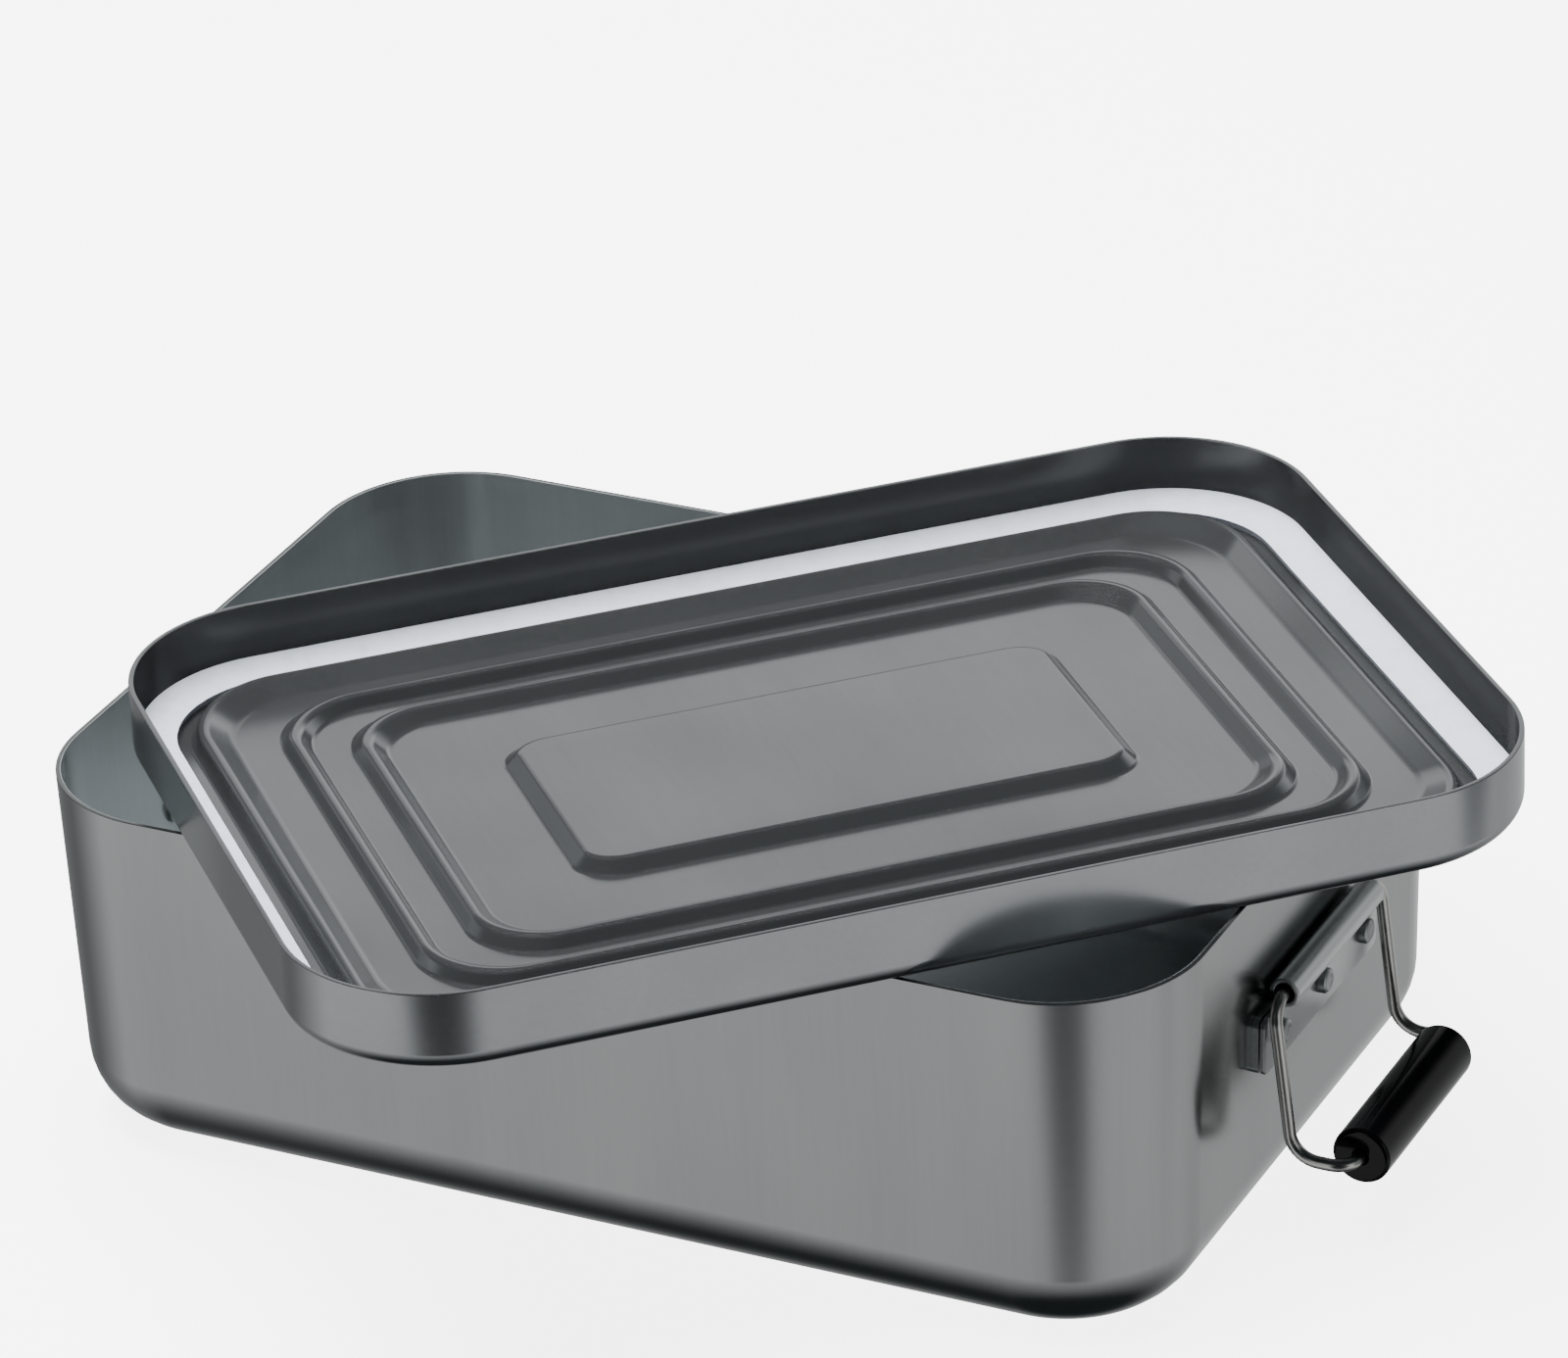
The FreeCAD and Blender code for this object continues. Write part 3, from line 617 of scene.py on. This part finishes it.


# %% [markdown]
# ## Dark anodised aluminium
# Anodising leaves the metal metallic but dark and satin. Drawing the sheet leaves two traces: a
# fine orange peel where it was stretched, which is relief and goes to a Bump node, and faint lines
# in the direction of the draw, which vary the colour. A slow cloud varies the roughness the way
# handling does. Large flat sheet is also never quite flat, which a mirror of a plain room shows:
# hence the slow wave.
# %% Mix the anodised finishes
def anodised(name, dark, light, draw, turn=0.0, metallic=0.97, wavy=0.0005):
    """Anodised sheet; draw gives how fine the lines are along X, Y and Z, wavy the wave's height."""
    finish = Finish(name, Metallic=metallic)
    cloud = finish.noise(9, 2)
    grain = finish.noise(900, 2, 0.6)
    peel = finish.noise(420, 2, 0.5)
    lines = finish.noise(60, 3, 0.6, finish.stretched(draw, turn))
    wide = finish.stretched([each ** 0.5 for each in draw], turn)
    streaks = finish.ramp(finish.noise(14, 2, 0.5, wide), 0.35, 0.65)
    wave = finish.noise(14, 1)
    relief = finish.bump(wave, wavy)
    finish.drive(Base_Color=finish.blend(cloud * 0.5 + lines * 0.3 + streaks * 0.2, dark, light),
                 Roughness=0.14 + cloud * 0.07 + grain * 0.03,
                 Normal=finish.bump(peel * 0.7 + grain * 0.3, 0.000004, under=relief))
    return finish


DOWN_THE_WALL, ACROSS_THE_LID = (14, 14, 0.6), (14, 1.0, 14)
tray_metal = anodised("tray anodised", (0.26, 0.27, 0.275, 1), (0.34, 0.35, 0.35, 1), DOWN_THE_WALL)
# The inside's paler colours are painted light, standing in for the light that the lid keeps out of the
# tray.
inside_metal_painted_light = anodised("tray inside painted light", (0.42, 0.46, 0.48, 1), (0.6, 0.64, 0.65, 1), DOWN_THE_WALL,
                        metallic=0.6)
lid_metal = anodised("lid anodised", (0.25, 0.262, 0.27, 1), (0.34, 0.35, 0.357, 1), ACROSS_THE_LID,
                     LID_TURN, metallic=0.9, wavy=0.0011)
paint(tray_metal, [tray_piece])
paint(lid_metal, [lid_piece])
print("nodes in the tray's finish:", len(tray_metal.tree.nodes))

# %% [markdown]
# ## The tray's inside
# The inside is a paler and less metallic copy of the outside's finish. Its paler colour is painted
# light: the upturned lid shades the inside, and the colour stands in for the light it keeps out.
# It is the same sheet, so the tray gets a second material, on the faces that look towards the
# tray's middle or up from its floor.
# %% Paint the inside
# The faces inside get the paler copy of the finish: painted light.
tray_piece.data.materials.append(inside_metal_painted_light.material)
inner = 0
for face in tray_piece.data.polygons:
    to_middle = face.normal.x * face.center.x + face.normal.y * face.center.y < 0
    if to_middle or (face.normal.z > 0.5 and face.center.z < TRAY_HEIGHT / 2 * MM):
        face.material_index = 1
        inner += 1
print("inner faces:", inner, "of", len(tray_piece.data.polygons))

# %% [markdown]
# ## White silicone
# Silicone is matt and cool white, and carries faint marks from its mould and a little dust. The
# skirt stands right beside the ring and would mirror it all round as a second white band. The
# real skirt is too dull and dark for that, so the ring is kept out of mirror images.
# %% Mix the silicone
silicone = Finish("white silicone", IOR=1.42)
dust = silicone.ramp(silicone.noise(260, 4, 0.6), 0.45, 0.8)
cloud = silicone.noise(25, 3)
silicone.drive(Base_Color=silicone.blend(dust * 0.6, (0.84, 0.9, 1.0, 1), (0.66, 0.71, 0.82, 1)),
               Roughness=0.42 + cloud * 0.2,
               Normal=silicone.bump(silicone.noise(700, 3) * 0.5 + cloud * 0.5, 0.00005))
paint(silicone, [seal_piece])
seal_piece.visible_glossy = False
print("seal faces:", len(seal_piece.data.polygons))

# %% [markdown]
# ## Steel and rivets
# The strips are rolled stainless sheet with lines along their length; the wire is drawn, brighter
# and smoother; rivets are plain aluminium, hammered a little uneven when they were set.
# %% Mix the steels
def steel(name, dark, light, roughness, stretch):
    """Bare metal with lines; stretch gives how fine they are along X, Y and Z."""
    finish = Finish(name, Metallic=1.0)
    lines = finish.noise(90, 3, 0.6, finish.stretched(stretch))
    spots = finish.noise(420, 3)
    finish.drive(Base_Color=finish.blend(lines * 0.6 + spots * 0.4, dark, light),
                 Roughness=roughness + lines * 0.1 + spots * 0.08,
                 Normal=finish.bump(lines * 0.6 + spots * 0.4, 0.000008))
    return finish


FINE_ALONG, FINE_DOWN, EVEN = (20, 1, 20), (20, 20, 2), (6, 6, 6)
strip_steel = steel("strip steel", (0.46, 0.49, 0.49, 1), (0.62, 0.64, 0.64, 1), 0.24, FINE_ALONG)
wire_steel = steel("wire steel", (0.36, 0.36, 0.35, 1), (0.52, 0.52, 0.5, 1), 0.2, FINE_DOWN)
rivet_metal = steel("rivet metal", (0.32, 0.34, 0.34, 1), (0.45, 0.47, 0.47, 1), 0.34, EVEN)
paint(strip_steel, steel_pieces)
paint(wire_steel, wire_pieces)
paint(rivet_metal, rivet_pieces)
for name, piece in frame["nodes"].items():
    for word, finish in (("backing", strip_steel), ("washer", rivet_metal)):
        if word in name:
            piece.data.materials.clear()
            piece.data.materials.append(finish.material)
            print("finished as it is:", name)

# %% [markdown]
# ## Gloss black plastic
# The grips are moulded in black plastic. Its gloss shows a slight ripple, and hands leave fine
# scratches that soften the gloss in places.
# %% Mix the plastic
plastic = Finish("black plastic", IOR=1.45, Specular_IOR_Level=0.2)
scratch = plastic.ramp(plastic.noise(300, 4, 0.7, plastic.stretched((1, 6, 1))), 0.5, 0.75)
ripple = plastic.noise(160, 2)
plastic.drive(Base_Color=plastic.blend(scratch, (0.003, 0.003, 0.004, 1), (0.006, 0.006, 0.007, 1)),
              Roughness=0.1 + scratch * 0.08 + ripple * 0.05,
              Normal=plastic.bump(ripple, 0.00002))
paint(plastic, grip_pieces)
print("grips:", [each.name for each in grip_pieces])

# %% [markdown]
# ## The floor
# A wide pale plane that isn't part of the box. It glows, so that it stays almost white, but the
# metal neither mirrors it nor is lit by it: the room that comes next gives the metal its tones.
# %% Lay the floor
bpy.ops.object.select_all(action="DESELECT")
bpy.ops.mesh.primitive_plane_add(size=12, location=(0, 0, -0.0002))
floor = bpy.context.object
floor.name = "floor"
pale = Finish("pale floor", Roughness=0.9, Specular_IOR_Level=0.0, Emission_Color=(1, 1, 1, 1),
              Emission_Strength=5.0)
pale.drive(Base_Color=pale.blend(pale.noise(3, 2) * 0.2, (0.9, 0.9, 0.9, 1), (0.86, 0.86, 0.86, 1)))
floor.data.materials.append(pale.material)
floor.visible_glossy = False
floor.visible_diffuse = False
print("floor:", round(floor.dimensions.x), "m wide")

# %% [markdown]
# ## The room
# Metal shows what stands round it, so the room matters more than the lamps. It is bright in a wide
# band round the horizon and dark above and straight below. Dark screens stand in four directions:
# they draw the dark band down the near corner and set the tones of the skirt and the ridges.
# %% Build the room
world = bpy.data.worlds.new("studio")
bpy.context.scene.world = world
world.use_nodes = True
room = Recipe(world.node_tree)
looking = room.node("ShaderNodeTexCoord", output="Generated")
height = room.node("ShaderNodeSeparateXYZ", {}, {0: looking}, output=2)


def towards(azimuth, full, none):
    """1 in the directions near an azimuth, and 0 away from it. Both limits are cosines."""
    facing = Vector((cos(radians(azimuth)), sin(radians(azimuth)), 0))
    near = room.node("ShaderNodeVectorMath", {"operation": "DOT_PRODUCT"},
                     {0: looking, 1: facing}, output=1)
    return room.ramp(near, none, full)


walls = room.ramp(height, -0.92, -0.47) * room.ramp(height, 0.53, 0.32)
screens = (1 - towards(-64, 0.84, 0.78)) * (1 - towards(20, 0.885, 0.85) * 0.75)
screens = screens * (1 - towards(66, 0.84, 0.7) * 0.3) * (1 - towards(152, 0.84, 0.5) * 0.8)
floor_side = 1 + room.ramp(height, 0.0, -0.3) * 0.1
grey = 0.025 + walls * screens * floor_side
cool_grey = room.node("ShaderNodeCombineXYZ", {}, {0: grey, 1: grey + 0.006, 2: grey + 0.008})
room.feed(world.node_tree.nodes["Background"].inputs["Color"], cool_grey)
print("nodes in the room:", len(world.node_tree.nodes))

# %% [markdown]
# ## Lamps
# A large soft lamp overhead lights the seal and the floor. A long low one behind draws the light
# edges along the ridges, and two small ones reach into the tray under the lid. A lamp is kept
# out of reflections where it would show as a hard bright patch.
# %% Hang the lamps
def lamp(name, at, aim, width, length, power, in_reflections=True):
    """An area lamp at a place, turned to its aim. Sizes are in metres, power in watts."""
    light = bpy.data.lights.new(name, "AREA")
    light.shape, light.size, light.size_y, light.energy = "RECTANGLE", width, length, power
    held = bpy.data.objects.new(name, light)
    bpy.context.scene.collection.objects.link(held)
    held.location = at
    held.rotation_euler = (Vector(aim) - Vector(at)).to_track_quat("-Z", "Y").to_euler()
    held.visible_glossy = in_reflections
    return held


lamp("top", (-0.3, 0.1, 1.4), (0, 0, 0), 1.2, 1.2, 55, in_reflections=False)
lamp("back left", (-0.34, 0.62, 0.45), (0.0, 0.0, 0.06), 0.8, 0.2, 0.3)
lamp("into the tray", (-0.25, 0.12, 0.6), (-0.09, 0.03, 0.05), 0.1, 0.1, 0.6, in_reflections=False)
lamp("inside", (-0.04, 0.02, 0.066), (-0.04, 0.02, 0), 0.14, 0.09, 0.004)
print("lamps:", [each.name for each in bpy.data.lights])

# %% [markdown]
# ## Camera
# A long lens, far away, looking down at the near corner of the tray.
# %% Set up the camera
AZIMUTH, ELEVATION, ROLL = radians(26.86), radians(27.6), radians(-2.59)
DISTANCE, ACROSS, UP, FOCAL = 1.53463, 0.00652, 0.03553, 189.74
back = Vector((sin(AZIMUTH) * cos(ELEVATION), -cos(AZIMUTH) * cos(ELEVATION), sin(ELEVATION)))
right = Vector((cos(AZIMUTH), sin(AZIMUTH), 0))
upward = back.cross(right)
rolled_right = right * cos(ROLL) + upward * sin(ROLL)
rolled_up = upward * cos(ROLL) - right * sin(ROLL)
camera = bpy.data.objects.new("camera", bpy.data.cameras.new("camera"))
bpy.context.scene.collection.objects.link(camera)
place = Vector((0, 0, 0.04)) + back * DISTANCE + rolled_right * ACROSS + rolled_up * UP
turned = Matrix((rolled_right, rolled_up, back)).transposed().to_4x4()
camera.matrix_world = Matrix.Translation(place) @ turned
camera.data.lens, camera.data.sensor_width = FOCAL, 36
camera.data.clip_end = 20
bpy.context.scene.camera = camera
print("camera at", [round(each, 3) for each in place])
